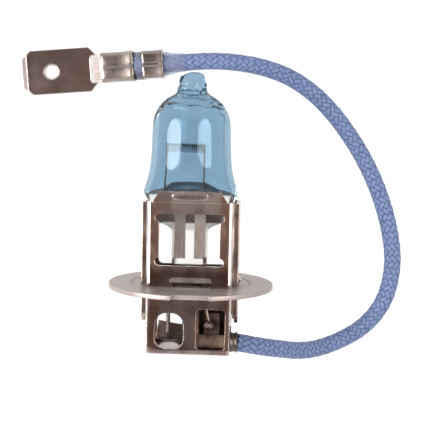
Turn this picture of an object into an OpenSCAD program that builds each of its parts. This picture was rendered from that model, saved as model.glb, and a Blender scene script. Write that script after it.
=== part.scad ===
// Headlight bulb with a 22 mm prefocus flange, a stamped cage and a braided flying lead.
// Frame: origin on the lamp axis at the flange's seating face. +Y runs along the lamp axis to the
// glass tip, +X to the side where the lead leaves, +Z out of the front panel. The bulb lies on its
// flange's edge, so the surface that it rests on is the plane z = -flange_d / 2.

/* [Flange] */
// Diameter of the prefocus flange
flange_d = 22; // [21:0.1:23]
// Thickness of the flange
flange_t = 0.6; // [0.4:0.05:0.8]
// Width of the orientation notch in the flange's front edge
notch_w = 4.8; // [3:0.1:6]
// How far the notch sits off the lamp axis
notch_x = 0.6; // [-1:0.1:1]
// Depth of the orientation notch
notch_depth = 0.85; // [0.4:0.05:1.2]

/* [Glass] */
// Height of the exhaust tip above the seating face
glass_top = 28; // [27:0.1:30]
// Diameter of the glass dome
dome_d = 10.5; // [10:0.1:11]
// Widest width of the flattened glass above the cage
flare_w = 12.5; // [11.5:0.1:12.7]
// Wall thickness of the dome
glass_wall = 0.75; // [0.5:0.05:1]
// Width of the pinch seal
pinch_w = 4.85; // [4.4:0.05:5.2]
// Depth of the pinch seal
pinch_depth = 3.3; // [2.8:0.1:3.6]
// How far the glass sits off the cage's centre
glass_shift = -0.25; // [-0.4:0.05:0.1]

/* [Filament] */
// Height of the filament above the seating face
light_centre = 18; // [17.8:0.05:18.2]
// Length of the filament coil
coil_len = 4.9; // [4:0.1:5.4]
// Outer diameter of the filament coil
coil_d = 1.1; // [0.8:0.05:1.2]
// Turns in the filament coil
coil_turns = 17; // [12:1:20]

/* [Cage] */
// Thickness of the cage's sheet steel
sheet_t = 0.45; // [0.35:0.05:0.5]
// Width of the front panel
panel_w = 11.3; // [11:0.1:11.5]
// Width over the outer side walls
cage_w = 12.8; // [12.6:0.1:13]
// Depth of the cage from front face to back face
cage_depth = 8.6; // [8.2:0.1:9]
// Height of the cage's top edge above the seating face
cage_top = 11.1; // [10.8:0.1:11.4]
// Depth of the lower box below the seating face
box_drop = 9.2; // [8.8:0.1:9.6]

/* [Lead] */
// Diameter of the braided lead
lead_d = 2.4; // [2.2:0.1:2.4]
// Diameter of the ferrule where the lead leaves the cage
ferrule_d = 2.8; // [2.6:0.1:3]

/* [Blade terminal] */
// Width of the blade
blade_w = 6.3; // [6.2:0.05:6.4]
// Thickness of the blade
blade_t = 0.8; // [0.75:0.05:0.85]
// Length of the blade from its tip to its shoulders
blade_len = 10.2; // [9.5:0.1:10.5]
// Diameter of the blade's hole
hole_d = 1.9; // [1.6:0.05:2]

/* [Hidden] */
$fn = 48;

flange_r = flange_d / 2;
table_z = -flange_r;

// The cage
front_z = cage_depth / 2;
panel_inner_z = front_z - sheet_t;
back_z = -front_z;
panel_edge_r = 0.6;
panel_return_z = front_z - 1.6;
side_wall_top_z = 2.6;
side_wall_bottom = -5.1;
box_w = panel_w - 0.4;
bend_r = 1.15;
window_half_w = 3.93;
window_low = 3.3;
window_high = 9.05;
slot_len = 9;
slot_h = 1.1;
back_window = [9.6, 5.7];
back_window_y = 4.75;
back_hole = [3.5, 3.6];
back_hole_at = [-3.1, -6.6];
left_hole = [3.8, 4.9];
left_hole_at = [-2.5, -5.95];
right_window = [3.8, 5.4];
right_window_at = [2.95, -5.6];
tongue_w = 9.7;
tongue_tip_w = 8;
tongue_len = 1.25;
tongue_pocket = [4.6, 0.75, 0.12];
tongue_lean = 14;
lug_w = 5.6;
lug_stand = 0.5;
lug_low = 0.55;
lug_x = 0.25;
fit_gap = 0.05;
seat_land_r = 8;
seat_step = 0.05;

// The glass: heights of its stretches, from the pinch to the tip
pinch_bottom = 2.6;
fillet_bottom = 7.0;
foot_bottom = 7.85;
foot_w = 9.8;
flare_y = 12.3;
dome_base = 17;
shoulder_y = 21.4;
tip_base_y = 25.2;
tip_r = 2.05;
tip_top_r = 1.5;
glass_sides = 32;

// The lead-in and outer lead wires
coil_x = -1.04;
coil_wire_d = 0.18;
wire_d = 0.45;
foil_y = 6.3;
foil_size = [1.5, 6.2, 0.06];
foil_x = 1.35;
outer_wire_d = 0.55;

// The live joint and the lead's way out of the cage
exit_y = -7.8;
exit_z = 1.2;
ferrule_end_x = 6.45;
ferrule_start_x = 5.48;
core_d = 1.5;
strands_d = 0.9;
barrel_d = 1.4;
barrel_x = [1.65, 4.1];
sleeve_x = [1.3, 4.85];
sleeve_d = 1.88;
live_plate = [2.1, 3.3, 0.35];
live_plate_z = exit_z - 0.5;

// The blade terminal: its tip, its turn on the table and its stretches
blade_tip = [-25.8, 27.75];
blade_turn = 4.8;
terminal_sheet = 0.4;
hole_from_tip = 4.5;
neck_end = 12.2;
conductor_crimp = [12.2, 16.6];
insulation_crimp = [17.9, 20.8];
crimp_w = 4.2;
crimp_h = 3.1;
wrap_w = 3.9;
wrap_h = 3.5;
lead_axis_h = 1.75;
clear_sleeve_x = [16.75, 23.9];
clear_sleeve_d = 2.8;
clear_bore_d = 2.44;

// The lead's route, from the ferrule down to the table, round the bulb and into the crimp
table_lie = table_z + lead_d / 2;
crimp_lie = table_z + lead_axis_h;
lead_route = [
    [ferrule_end_x, exit_y, exit_z], [8.3, -8.15, 0.95], [10.3, -8.75, -0.5], [12.4, -9.4, -2.5],
    [14.6, -10.1, -4.9], [16.8, -10.4, -7.1], [19, -10.2, -8.9], [21.4, -9.3, table_lie + 0.12],
    [23.8, -7.8, table_lie], [25.9, -5.6, table_lie], [27.3, -3, table_lie],
    [28, 0, table_lie], [28.1, 3, table_lie], [27.6, 6.3, table_lie], [26.7, 9.6, table_lie],
    [25.4, 13, table_lie], [23.7, 16.4, table_lie], [21.6, 19.7, table_lie],
    [19.1, 22.9, table_lie], [16.1, 25.8, table_lie], [12.6, 28, table_lie],
    [8.8, 29.3, table_lie], [5, 29.9, table_lie], [1.6, 30.02, table_lie + 0.2],
    [-1.9, 29.76, crimp_lie], [-5.5, 29.45, crimp_lie], [-9.15, 29.15, crimp_lie]
];
lead_sides = 8;
rings_per_span = 2;

// ---------------------------------------------------------------- helpers

function unit(v) = v / norm(v);
function mix(a, b, t) = a + (b - a) * t;
function ease(t) = t * t * (3 - 2 * t);
function clip(t) = max(0, min(1, t));
function ramp(y, y0, y1) = ease(clip((y - y0) / (y1 - y0)));

// A wire of diameter d through the points, mitred where it bends
module wire(points, d) { swept(points, d / 2, 12); }

module rounded_rect(size, r) {
    square([size[0] - 2 * r, size[1]], center = true);
    square([size[0], size[1] - 2 * r], center = true);
    for (sx = [-1, 1], sy = [-1, 1])
        translate([sx * (size[0] / 2 - r), sy * (size[1] / 2 - r)]) circle(r = r);
}

module slot(length, height) {
    square([length - height, height], center = true);
    for (s = [-1, 1]) translate([s * (length - height) / 2, 0]) circle(d = height);
}

// Extrudes an outline drawn in X and Z along Y, from y0 up to y1
module along_y(y0, y1) {
    translate([0, y1, 0]) rotate([90, 0, 0]) linear_extrude(y1 - y0) children();
}

// Extrudes an outline drawn in X and Y along Z, from z0 up to z1
module along_z(z0, z1) {
    translate([0, 0, z0]) linear_extrude(z1 - z0) children();
}

// A round bar or tube along X, from x0 to x1, at the height of the lead's way out
module along_lead(x0, x1, d) {
    translate([x0, exit_y, exit_z]) rotate([0, 90, 0]) cylinder(d = d, h = x1 - x0);
}

// ---------------------------------------------------------------- glass

// Half width of the glass at height y: pinch, fillet, foot, flare, dome, shoulder and tip
function glass_half_w(y) =
    y < fillet_bottom ? pinch_w / 2
    : y < foot_bottom ? pinch_w / 2 + fillet_w(y)
    : y < flare_y ? mix(foot_w, flare_w, sin(90 * (y - foot_bottom) / (flare_y - foot_bottom))) / 2
    : y < dome_base ? mix(flare_w, dome_d + 0.25, ramp_out(y)) / 2
    : round_half(y);

function fillet_w(y) =
    let (t = (y - fillet_bottom) / (foot_bottom - fillet_bottom))
    (foot_w - pinch_w) / 2 * (1 - sqrt(max(0, 1 - pow(t, 4))));
function ramp_out(y) = 1 - pow(1 - (y - flare_y) / (dome_base - flare_y), 2.2);

// Half depth of the glass at height y: it is pressed flat towards the pinch
function glass_half_d(y) =
    y < dome_base ? mix(pinch_depth, dome_d + 0.15, ramp(y, foot_bottom - 1, dome_base)) / 2
    : round_half(y);

// Radius of the round stretches: the dome, its shoulder and the drawn exhaust tip
function round_half(y) =
    y < shoulder_y ? mix(dome_d + 0.25, dome_d, ramp(y, dome_base, shoulder_y)) / 2
    : y < tip_base_y ? shoulder_r(y)
    : tip_r - (tip_r - tip_top_r) * pow((y - tip_base_y) / (glass_top - tip_base_y), 1.4);

function shoulder_r(y) =
    let (t = (y - shoulder_y) / (tip_base_y - shoulder_y))
    tip_r + (dome_d / 2 - tip_r) * sqrt(max(0, 1 - pow(t, 2.1)));

// One ring of the glass at height y, squarer at the pinch than at the dome
function glass_ring(y, inset = 0) =
    let (
        a = glass_half_w(y) - inset,
        b = glass_half_d(y) - inset,
        power = mix(0.55, 1, ramp(y, foot_bottom, flare_y + 1))
    )
    [for (i = [0 : glass_sides - 1])
        let (t = 360 * i / glass_sides, c = cos(t), s = sin(t))
        [a * sign(c) * pow(abs(c), power), y, b * sign(s) * pow(abs(s), power)]];

// Skins a list of rings that all have n points, with flat ends
module loft(rings, n) {
    points = [for (ring = rings) for (p = ring) p];
    last = (len(rings) - 1) * n;
    sides = [for (k = [0 : len(rings) - 2]) for (i = [0 : n - 1])
        let (j = (i + 1) % n)
        each [
            [k * n + i, (k + 1) * n + j, (k + 1) * n + i],
            [k * n + i, k * n + j, (k + 1) * n + j]
        ]];
    ends = [[for (i = [n - 1 : -1 : 0]) i], [for (i = [0 : n - 1]) last + i]];
    polyhedron(points, concat(sides, ends), convexity = 6);
}

function steps(y0, y1, count) = [for (i = [0 : count - 1]) mix(y0, y1, i / count)];

glass_heights = concat(
    [pinch_bottom], steps(fillet_bottom, foot_bottom, 4), steps(foot_bottom, flare_y, 5),
    steps(flare_y, dome_base, 5), steps(dome_base, shoulder_y, 2),
    [for (i = [0 : 6]) mix(shoulder_y, tip_base_y, sin(90 * i / 7))],
    steps(tip_base_y, glass_top - 0.5, 3)
);
tip_cap = [[0.5, 1], [0.2, 0.86], [0, 0.5]];
cavity_heights = concat(
    steps(flare_y + 0.4, dome_base, 4), steps(dome_base, shoulder_y, 2),
    [for (i = [0 : 5]) mix(shoulder_y, tip_base_y - 1, sin(90 * i / 6))]
);

module glass_envelope() {
    cap_y = glass_top - tip_cap[0][0];
    cap = [for (c = tip_cap)
        [for (p = glass_ring(cap_y)) [p[0] * c[1], glass_top - c[0], p[2] * c[1]]]];
    color("lightsteelblue", 0.5)
        translate([glass_shift, 0, 0])
            difference() {
                loft(concat([for (y = glass_heights) glass_ring(y)], cap), glass_sides);
                loft([for (y = cavity_heights) glass_ring(y, glass_wall)], glass_sides);
            }
}

// ---------------------------------------------------------------- filament and its wires

// A helix along X as one swept tube
module helix(length, radius, wire_r, turns, per_turn = 12, sides = 6) {
    count = turns * per_turn;
    function at(i) =
        [length * (i / count - 0.5), radius * sin(360 * i / per_turn),
         radius * cos(360 * i / per_turn)];
    function radial(i) = [0, sin(360 * i / per_turn), cos(360 * i / per_turn)];
    rings = [for (i = [0 : count])
        let (
            tangent = unit(at(i + 0.5) - at(i - 0.5)),
            out = radial(i),
            side = cross(tangent, out)
        )
        [for (k = [0 : sides - 1])
            let (t = -360 * k / sides)
            at(i) + wire_r * (out * cos(t) + side * sin(t))]];
    loft(rings, sides);
}

module filament_coil() {
    color("dimgray")
        translate([coil_x, light_centre, 0])
            helix(coil_len, (coil_d - coil_wire_d) / 2, coil_wire_d / 2, coil_turns);
}

// A lead-in wire, from the coil's end down into the pinch and to its foil
module lead_in(side) {
    coil_end = coil_x + side * (coil_len / 2 + wire_d / 4);
    foil_top = foil_y + foil_size[1] / 2;
    wire([
        [coil_end, light_centre + coil_d / 2, 0],
        [coil_end, 14, 0],
        [glass_shift + side * 2.0, 11.4, 0],
        [glass_shift + side * foil_x, 10.2, 0],
        [glass_shift + side * foil_x, foil_top, 0]
    ], wire_d);
}
module lead_in_left() { color("gray") lead_in(-1); }
module lead_in_right() { color("gray") lead_in(1); }

// A thin sealing foil inside the pinch
module foil(side) {
    translate([glass_shift + side * foil_x, foil_y, 0]) cube(foil_size, center = true);
}
module foil_left() { color("darkgray") foil(-1); }
module foil_right() { color("darkgray") foil(1); }

// The outer leads, from their foils out of the pinch and down to their joints
module outer_lead_left() {
    color("dimgray")
        wire([
            [glass_shift - 2.0, foil_y - foil_size[1] / 2, 0], [-2.35, 1.6, 0],
            [-2.9, -2.2, 0.7], [-2.95, -6.9, 0.7]
        ], outer_wire_d);
}
module outer_lead_right() {
    color("dimgray") {
        wire([
            [glass_shift + 2.0, foil_y - foil_size[1] / 2, 0], [1.9, 1.6, 0],
            [2.1, -2.6, 1.3], [2.6, -5.4, 1.36]
        ], outer_wire_d);
        translate([2.65, -5.5, 1.65]) sphere(d = 1.4);
    }
}

// ---------------------------------------------------------------- cage

module window_outline() {
    translate([0, (window_low + window_high) / 2])
        square([2 * window_half_w, window_high - window_low], center = true);
    for (y = [window_low, window_high]) translate([0, y]) slot(slot_len, slot_h);
}

// Cross-section of the front channel: a flat face with rounded edges that turn back
module channel_section() {
    difference() {
        translate([0, front_z - 2]) rounded_rect([panel_w, 4], panel_edge_r);
        translate([0, panel_inner_z - 2])
            rounded_rect([panel_w - 2 * sheet_t, 4], panel_edge_r - sheet_t);
        translate([-panel_w, panel_return_z - 4]) square([2 * panel_w, 4]);
    }
}

// Cross-section of the back channel: the back face and two tall side walls with hemmed edges
module wall_section() {
    hem = (cage_w - panel_w) / 2 - fit_gap;
    difference() {
        rounded_rect([cage_w, cage_depth], 1);
        rounded_rect([cage_w - 2 * sheet_t, cage_depth - 2 * sheet_t], 1 - sheet_t);
        translate([-cage_w, side_wall_top_z]) square([2 * cage_w, cage_depth]);
    }
    for (s = [-1, 1])
        translate([s * (cage_w - hem) / 2, side_wall_top_z - sheet_t / 2])
            square([hem, sheet_t], center = true);
}

// Side profile of the lower box in Y and Z: front face, fold, floor, fold and the back lip
module box_profile() {
    rear_z = back_z + sheet_t + 0.02;
    size = [box_drop + 3, front_z - rear_z];
    at = [size[0] / 2 - box_drop, (front_z + rear_z) / 2];
    difference() {
        translate(at) rounded_rect(size, bend_r);
        translate(at)
            rounded_rect(size - [2 * sheet_t, 2 * sheet_t], bend_r - sheet_t);
        translate([0.4, -cage_depth]) square([5, 2 * cage_depth]);
        translate([-1.6, -cage_depth]) square([5, cage_depth]);
    }
}

// The tapering tongue on the cage's top edge, which leans back on the glass, with its pressed pocket
module tongue() {
    translate([0, cage_top, front_z - sheet_t])
        rotate([-tongue_lean, 0, 0])
            difference() {
                linear_extrude(sheet_t)
                    polygon([
                        [-tongue_w / 2, -0.2], [tongue_w / 2, -0.2],
                        [tongue_w / 2, 0], [tongue_tip_w / 2, tongue_len],
                        [-tongue_tip_w / 2, tongue_len], [-tongue_w / 2, 0]
                    ]);
                translate([0, tongue_len / 2, sheet_t - tongue_pocket[2]])
                    linear_extrude(1) slot(tongue_pocket[0], tongue_pocket[1]);
            }
}

// A lanced lug that stands out of a face over the flange, w wide and stand proud
module lug(w, stand) {
    intersection() {
        translate([-w / 2, 0, 0])
            rotate([90, 0, 90])
                linear_extrude(w)
                    polygon([
                        [1.35, -0.1], [lug_low + 0.15, stand], [lug_low, stand],
                        [lug_low, -0.1]
                    ]);
        translate([0, 0, -1])
            linear_extrude(stand + 2)
                polygon([
                    [-w / 2 + 0.35, 0], [w / 2 - 0.35, 0], [w / 2, 0.9],
                    [w / 2 - 0.7, 1.5], [-w / 2 + 0.7, 1.5], [-w / 2, 0.9]
                ]);
    }
}

// The lanced gap that is left under a lug
module lug_gap(w) {
    translate([lug_x - w / 2 + 0.3, 0.03]) square([w - 0.6, lug_low - 0.03]);
}

module cage_front() {
    color("rosybrown") {
        difference() {
            union() {
                along_y(side_wall_bottom, cage_top) channel_section();
                translate([-box_w / 2, 0, 0]) rotate([90, 0, 90])
                    linear_extrude(box_w) box_profile();
            }
            along_z(0, front_z + 1) {
                window_outline();
                translate(left_hole_at) rounded_rect(left_hole, 1.6);
                translate(right_window_at) rounded_rect(right_window, 0.55);
                lug_gap(lug_w);
            }
            along_z(back_z - 1, 0) translate(back_hole_at) rounded_rect(back_hole, 1.4);
        }
        tongue();
        translate([lug_x, 0, front_z]) lug(lug_w, lug_stand);
    }
}

module cage_back() {
    color("dimgray") {
        difference() {
            along_y(side_wall_bottom, cage_top - 0.2) wall_section();
            along_z(back_z - 1, 0) {
                translate([0, back_window_y]) rounded_rect(back_window, 0.6);
                translate(back_hole_at) rounded_rect(back_hole, 1.4);
                lug_gap(lug_w);
            }
            // sloped lower corners of the side walls
            for (s = [-1, 1])
                translate([s * cage_w / 2, side_wall_bottom, side_wall_top_z])
                    rotate([45, 0, 0]) cube([3, 1.6, 1.6], center = true);
        }
        // stop lugs over the flange on both side walls and on the back
        for (s = [-1, 1])
            translate([s * cage_w / 2, 0, 1]) rotate([0, s * 90, 0]) lug(1.8, 0.35);
        translate([lug_x, 0, back_z]) rotate([0, 180, 0]) lug(lug_w, lug_stand);
    }
}

module prefocus_flange() {
    hole_depth = cage_depth + 2 * fit_gap;
    color("silver")
        difference() {
            rotate([90, 0, 0]) cylinder(r = flange_r, h = flange_t, $fn = 96);
            translate([0, 0.5, 0]) rotate([90, 0, 0]) cylinder(r = seat_land_r, h = 0.5 + seat_step);
            // the opening for the cage
            along_y(-flange_t - 1, 1) {
                translate([0, (side_wall_top_z - front_z) / 2])
                    square([cage_w + 2 * fit_gap, side_wall_top_z + front_z + 2 * fit_gap],
                           center = true);
                square([panel_w + 2 * fit_gap, hole_depth], center = true);
            }
            // the orientation notch
            along_y(-flange_t - 1, 1)
                translate([notch_x - notch_w / 2, flange_r - notch_depth]) square([notch_w, 2]);
        }
}

// ---------------------------------------------------------------- joints inside the lower box

module ground_tab() {
    color("dimgray")
        translate([-2.85, -6.6, 0]) {
            rotate([0, 0, -9]) translate([-1.6, -1.05, 0]) cube([3.5, 2.1, sheet_t]);
            translate([1.6, -1.1, back_z + 2 * sheet_t + 0.03])
                cube([sheet_t, 1.6, -back_z - 1.5 * sheet_t]);
        }
}

module live_terminal() {
    color("darkgoldenrod") {
        difference() {
            along_lead(barrel_x[0], barrel_x[1], barrel_d);
            along_lead(barrel_x[0] - 1, barrel_x[1] + 1, strands_d);
        }
        translate([1.9, exit_y + 0.5, live_plate_z]) cube(live_plate);
    }
}

// The brown liner that keeps the live joint off the cage: open to the front, top and bottom
module insulating_liner() {
    liner_t = 0.3;
    at = [0.95, -box_drop + sheet_t + 0.02, back_z + 2 * sheet_t + 0.04];
    size = [4.3, 6.6, 5.6];
    color("saddlebrown")
        difference() {
            translate(at) cube(size);
            translate(at + [liner_t, -1, liner_t]) cube(size + [-2 * liner_t, 2, 0]);
            along_lead(4, 6, core_d + 0.1);
        }
}

// The sleeve over the live barrel, cut away where the terminal's plate comes out
module insulating_sleeve() {
    color("sienna")
        difference() {
            along_lead(sleeve_x[0], sleeve_x[1], sleeve_d);
            along_lead(sleeve_x[0] + 0.3, sleeve_x[1] + 1, core_d + 0.04);
            translate([sleeve_x[0] + 0.3, exit_y, live_plate_z - 0.05])
                cube([live_plate[0] + 0.6, 2, live_plate[2] + 0.1]);
        }
}

module strands_base() {
    color("peru") along_lead(barrel_x[0] + 0.05, barrel_x[1] + 0.3, strands_d);
}

module cable_ferrule() {
    lip_t = 0.25;
    color("rosybrown")
        difference() {
            union() {
                along_lead(ferrule_start_x, ferrule_end_x, ferrule_d - 0.2);
                along_lead(ferrule_end_x - lip_t, ferrule_end_x, ferrule_d);
                along_lead(ferrule_start_x, ferrule_start_x + lip_t, ferrule_d);
            }
            along_lead(ferrule_start_x - 1, ferrule_end_x + 1, core_d + 0.02);
        }
}

// ---------------------------------------------------------------- lead

// A point of a smooth curve through the route, at parameter t of the span after point i
function route_point(route, i, t) =
    let (
        n = len(route) - 1,
        a = route[max(i - 1, 0)], b = route[i], c = route[min(i + 1, n)], d = route[min(i + 2, n)]
    )
    0.5 * (2 * b + (c - a) * t + (2 * a - 5 * b + 4 * c - d) * t * t
        + (3 * b - a - 3 * c + d) * t * t * t);

function route_points(route, per_span) = concat(
    [for (i = [0 : len(route) - 2]) for (k = [0 : per_span - 1])
        route_point(route, i, k / per_span)],
    [route[len(route) - 1]]
);

// A round tube of radius r swept along the points, its rings square to the path
module swept(points, r, sides) {
    n = len(points) - 1;
    rings = [for (i = [0 : n])
        let (
            ahead = unit(points[min(i + 1, n)] - points[min(i, n - 1)]),
            behind = unit(points[max(i, 1)] - points[max(i - 1, 0)]),
            tangent = unit(ahead + behind),
            side = unit(cross([0, 0, 1], tangent)),
            up = cross(tangent, side)
        )
        [for (k = [0 : sides - 1])
            let (t = -360 * k / sides)
            points[i] + r * (side * cos(t) + up * sin(t))]];
    loft(rings, sides);
}

module lead_braid() {
    color("cornflowerblue")
        swept(route_points(lead_route, rings_per_span), lead_d / 2, lead_sides);
}

// The insulated core where it shows, between the live barrel and the ferrule's end
module lead_insulation() {
    color("slateblue") along_lead(barrel_x[1] + 0.32, ferrule_end_x, core_d);
}

// Places a shape drawn along +X from the blade's tip, with z = 0 on the table
module in_terminal() {
    translate([blade_tip[0], blade_tip[1], table_z]) rotate([0, 0, blade_turn]) children();
}

module clear_sleeve() {
    color("lightsteelblue", 0.5)
        in_terminal()
            translate([clear_sleeve_x[0], 0, lead_axis_h])
                rotate([0, 90, 0])
                    difference() {
                        length = clear_sleeve_x[1] - clear_sleeve_x[0];
                        cylinder(d = clear_sleeve_d, h = length);
                        translate([0, 0, -1]) cylinder(d = clear_bore_d, h = length + 2);
                    }
}

module strands_end() {
    color("peru")
        in_terminal()
            translate([conductor_crimp[0] - 0.5, 0, 1.35])
                rotate([0, 90, 0])
                    cylinder(d = 1.5, h = conductor_crimp[1] - conductor_crimp[0] + 0.5);
}

// Cross-section of the conductor crimp: a floor and two wings that roll in to the middle
module conductor_section() {
    lobe_r = crimp_w / 4;
    difference() {
        union() {
            translate([0, crimp_h / 2 - lobe_r / 2 + 0.1])
                rounded_rect([crimp_w, crimp_h - lobe_r + 0.2], 0.7);
            for (s = [-1, 1])
                translate([s * lobe_r, crimp_h - lobe_r]) circle(r = lobe_r);
        }
        translate([0, 1.35]) circle(d = 1.5);
    }
}

// Cross-section of the insulation crimp: the wings wrap round the lead and meet on top
module wrap_section() {
    difference() {
        union() {
            translate([0, 1.25]) rounded_rect([wrap_w, 2.5], 0.7);
            for (s = [-1, 1])
                translate([s * wrap_w / 4, wrap_h - wrap_w / 4 - 0.15]) circle(r = wrap_w / 4);
            translate([0, 2]) square([wrap_w / 2, 2.2], center = true);
        }
        translate([0, lead_axis_h]) circle(d = clear_sleeve_d + 0.04);
    }
}

module along_terminal(x0, x1) {
    translate([x0, 0, 0]) rotate([90, 0, 90]) linear_extrude(x1 - x0) children();
}

module blade_terminal() {
    corner = [1.6, 1.1];
    bevel = 0.7;
    side_h = 1.2;
    color("dimgray")
        in_terminal() {
            difference() {
                // the blade, its corners cut and its tip bevelled on both faces
                intersection() {
                    linear_extrude(blade_t)
                        polygon([
                            [0, -blade_w / 2 + corner[1]], [corner[0], -blade_w / 2],
                            [blade_len, -blade_w / 2], [neck_end, -crimp_w / 2],
                            [neck_end, crimp_w / 2], [blade_len, blade_w / 2],
                            [corner[0], blade_w / 2], [0, blade_w / 2 - corner[1]]
                        ]);
                    translate([0, blade_w, 0]) rotate([90, 0, 0]) linear_extrude(2 * blade_w)
                        polygon([
                            [0, blade_t * 0.4], [bevel, 0], [neck_end + 1, 0],
                            [neck_end + 1, blade_t], [bevel, blade_t], [0, blade_t * 0.6]
                        ]);
                }
                translate([hole_from_tip, 0, -1]) cylinder(d = hole_d, h = blade_t + 2);
            }
            // the neck rises from the blade to the crimp
            translate([0, crimp_w / 2, 0]) rotate([90, 0, 0]) linear_extrude(crimp_w)
                polygon([
                    [blade_len + 0.2, 0], [neck_end + 0.1, 0], [neck_end + 0.1, 2.6],
                    [neck_end - 0.3, 2.4], [blade_len + 0.2, blade_t]
                ]);
            along_terminal(conductor_crimp[0], conductor_crimp[1]) conductor_section();
            along_terminal(insulation_crimp[0], insulation_crimp[1]) wrap_section();
            // the open channel that joins the two crimps
            along_terminal(conductor_crimp[1], insulation_crimp[0]) {
                translate([-wrap_w / 2, 0]) square([wrap_w, terminal_sheet]);
                for (s = [-1, 1])
                    translate([s * (wrap_w / 2 - terminal_sheet / 2), side_h / 2])
                        square([terminal_sheet, side_h], center = true);
            }
        }
}

glass_envelope();
filament_coil();
lead_in_left();
lead_in_right();
foil_left();
foil_right();
outer_lead_left();
outer_lead_right();
cage_front();
cage_back();
prefocus_flange();
ground_tab();
live_terminal();
insulating_liner();
insulating_sleeve();
strands_base();
cable_ferrule();
lead_insulation();
lead_braid();
clear_sleeve();
strands_end();
blade_terminal();
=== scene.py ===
"""Looks of a halogen headlight bulb: coated glass, stamped cage, braided lead and blade."""

import logging
import math
from collections.abc import Callable, Iterable, Sequence
from dataclasses import dataclass, field
from enum import Enum

import bmesh
import bpy
from mathutils import Matrix, Vector, noise

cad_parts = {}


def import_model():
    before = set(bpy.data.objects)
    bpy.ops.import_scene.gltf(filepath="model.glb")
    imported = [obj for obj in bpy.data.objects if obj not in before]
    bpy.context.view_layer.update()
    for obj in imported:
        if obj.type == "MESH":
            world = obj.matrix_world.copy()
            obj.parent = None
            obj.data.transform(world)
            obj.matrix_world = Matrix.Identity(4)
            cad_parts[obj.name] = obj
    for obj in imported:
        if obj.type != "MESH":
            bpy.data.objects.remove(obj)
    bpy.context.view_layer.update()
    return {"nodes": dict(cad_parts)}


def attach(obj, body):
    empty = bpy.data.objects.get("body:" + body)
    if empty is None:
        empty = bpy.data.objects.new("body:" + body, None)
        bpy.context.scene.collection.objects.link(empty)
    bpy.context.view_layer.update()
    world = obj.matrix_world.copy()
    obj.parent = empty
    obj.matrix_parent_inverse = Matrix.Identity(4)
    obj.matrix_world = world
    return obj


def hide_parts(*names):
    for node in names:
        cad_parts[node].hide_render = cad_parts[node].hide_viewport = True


MM = 0.001
BODY = "root"
TABLE = -11.0
EDGE_RADIUS = 0.13
COIL_X, COIL_Y = -1.04, 18.0
LEAD_AT_CRIMP = 1.75
LOG = logging.getLogger("headlight_bulb")

Ring = list[Vector]


# ---------------------------------------------------------------- mesh helpers


def mesh_piece(
    name: str, points: Sequence[Vector], faces: Sequence[Sequence[int]], smooth: bool = True
) -> bpy.types.Object:
    """Makes one object from points in millimetres.

    Args:
        name: Name of the piece.
        points: Vertices in the part's frame, in millimetres.
        faces: Vertex indices of each face.
        smooth: Whether the faces are shaded smooth.

    Returns:
        The new object, linked to the scene.
    """
    mesh = bpy.data.meshes.new(name)
    mesh.from_pydata([tuple(p * MM) for p in points], [], [tuple(f) for f in faces])
    mesh.validate()
    if smooth:
        mesh.polygons.foreach_set("use_smooth", [True] * len(mesh.polygons))
    mesh.update()
    piece = bpy.data.objects.new(name, mesh)
    bpy.context.scene.collection.objects.link(piece)
    return piece


@dataclass
class Skin:
    """Gathers lofted surfaces into one mesh."""

    points: list[Vector] = field(default_factory=list)
    faces: list[list[int]] = field(default_factory=list)
    slots: list[int] = field(default_factory=list)

    def loft(
        self, rings: Sequence[Ring], caps: bool = True, closed: bool = True, slot: int = 0
    ) -> None:
        """Skins rings of equal length.

        Args:
            rings: Rings from first to last.
            caps: Whether the two end rings are filled.
            closed: Whether each ring closes on itself.
            slot: Material slot of the faces.
        """
        count = len(rings[0])
        base = len(self.points)
        for ring in rings:
            self.points.extend(ring)
        last = count if closed else count - 1
        for k in range(len(rings) - 1):
            for i in range(last):
                j = (i + 1) % count
                a, b = base + k * count, base + (k + 1) * count
                self.faces.append([a + i, a + j, b + j, b + i])
                self.slots.append(slot)
        if caps:
            self.faces.append([base + i for i in reversed(range(count))])
            top = base + (len(rings) - 1) * count
            self.faces.append([top + i for i in range(count)])
            self.slots.extend([slot, slot])

    def piece(self, name: str, smooth: bool = True) -> bpy.types.Object:
        """Builds the object, with every shell's faces turned outwards.

        Args:
            name: Name of the piece.
            smooth: Whether the faces are shaded smooth.

        Returns:
            The new object.
        """
        made = mesh_piece(name, self.points, self.faces, smooth)
        if len(made.data.polygons) == len(self.slots):
            made.data.polygons.foreach_set("material_index", self.slots)
        work = bmesh.new()
        work.from_mesh(made.data)
        bmesh.ops.recalc_face_normals(work, faces=work.faces)
        work.to_mesh(made.data)
        work.free()
        return made


def route_through(points: Sequence[Vector], per_span: int) -> list[Vector]:
    """A smooth curve through the points.

    Args:
        points: The route's points.
        per_span: Steps between two points.

    Returns:
        The curve's points, both ends included.
    """
    last = len(points) - 1
    out: list[Vector] = []
    for i in range(last):
        a, b = points[max(i - 1, 0)], points[i]
        c, d = points[i + 1], points[min(i + 2, last)]
        for k in range(per_span):
            t = k / per_span
            out.append(
                0.5
                * (
                    2 * b
                    + (c - a) * t
                    + (2 * a - 5 * b + 4 * c - d) * t * t
                    + (3 * b - a - 3 * c + d) * t**3
                )
            )
    out.append(points[last].copy())
    return out


def frames_along(path: Sequence[Vector]) -> list[tuple[Vector, Vector, Vector]]:
    """Tangent, side and up at each point of a path, with no twist.

    Args:
        path: Points of the path.

    Returns:
        One (tangent, side, up) for each point.
    """
    out: list[tuple[Vector, Vector, Vector]] = []
    side = Vector((0, 0, 1)).cross(path[1] - path[0])
    if side.length < 1e-6:
        side = Vector((1, 0, 0))
    for i, _ in enumerate(path):
        tangent = (path[min(i + 1, len(path) - 1)] - path[max(i - 1, 0)]).normalized()
        side = (side - tangent * side.dot(tangent)).normalized()
        out.append((tangent, side, tangent.cross(side)))
    return out


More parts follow.
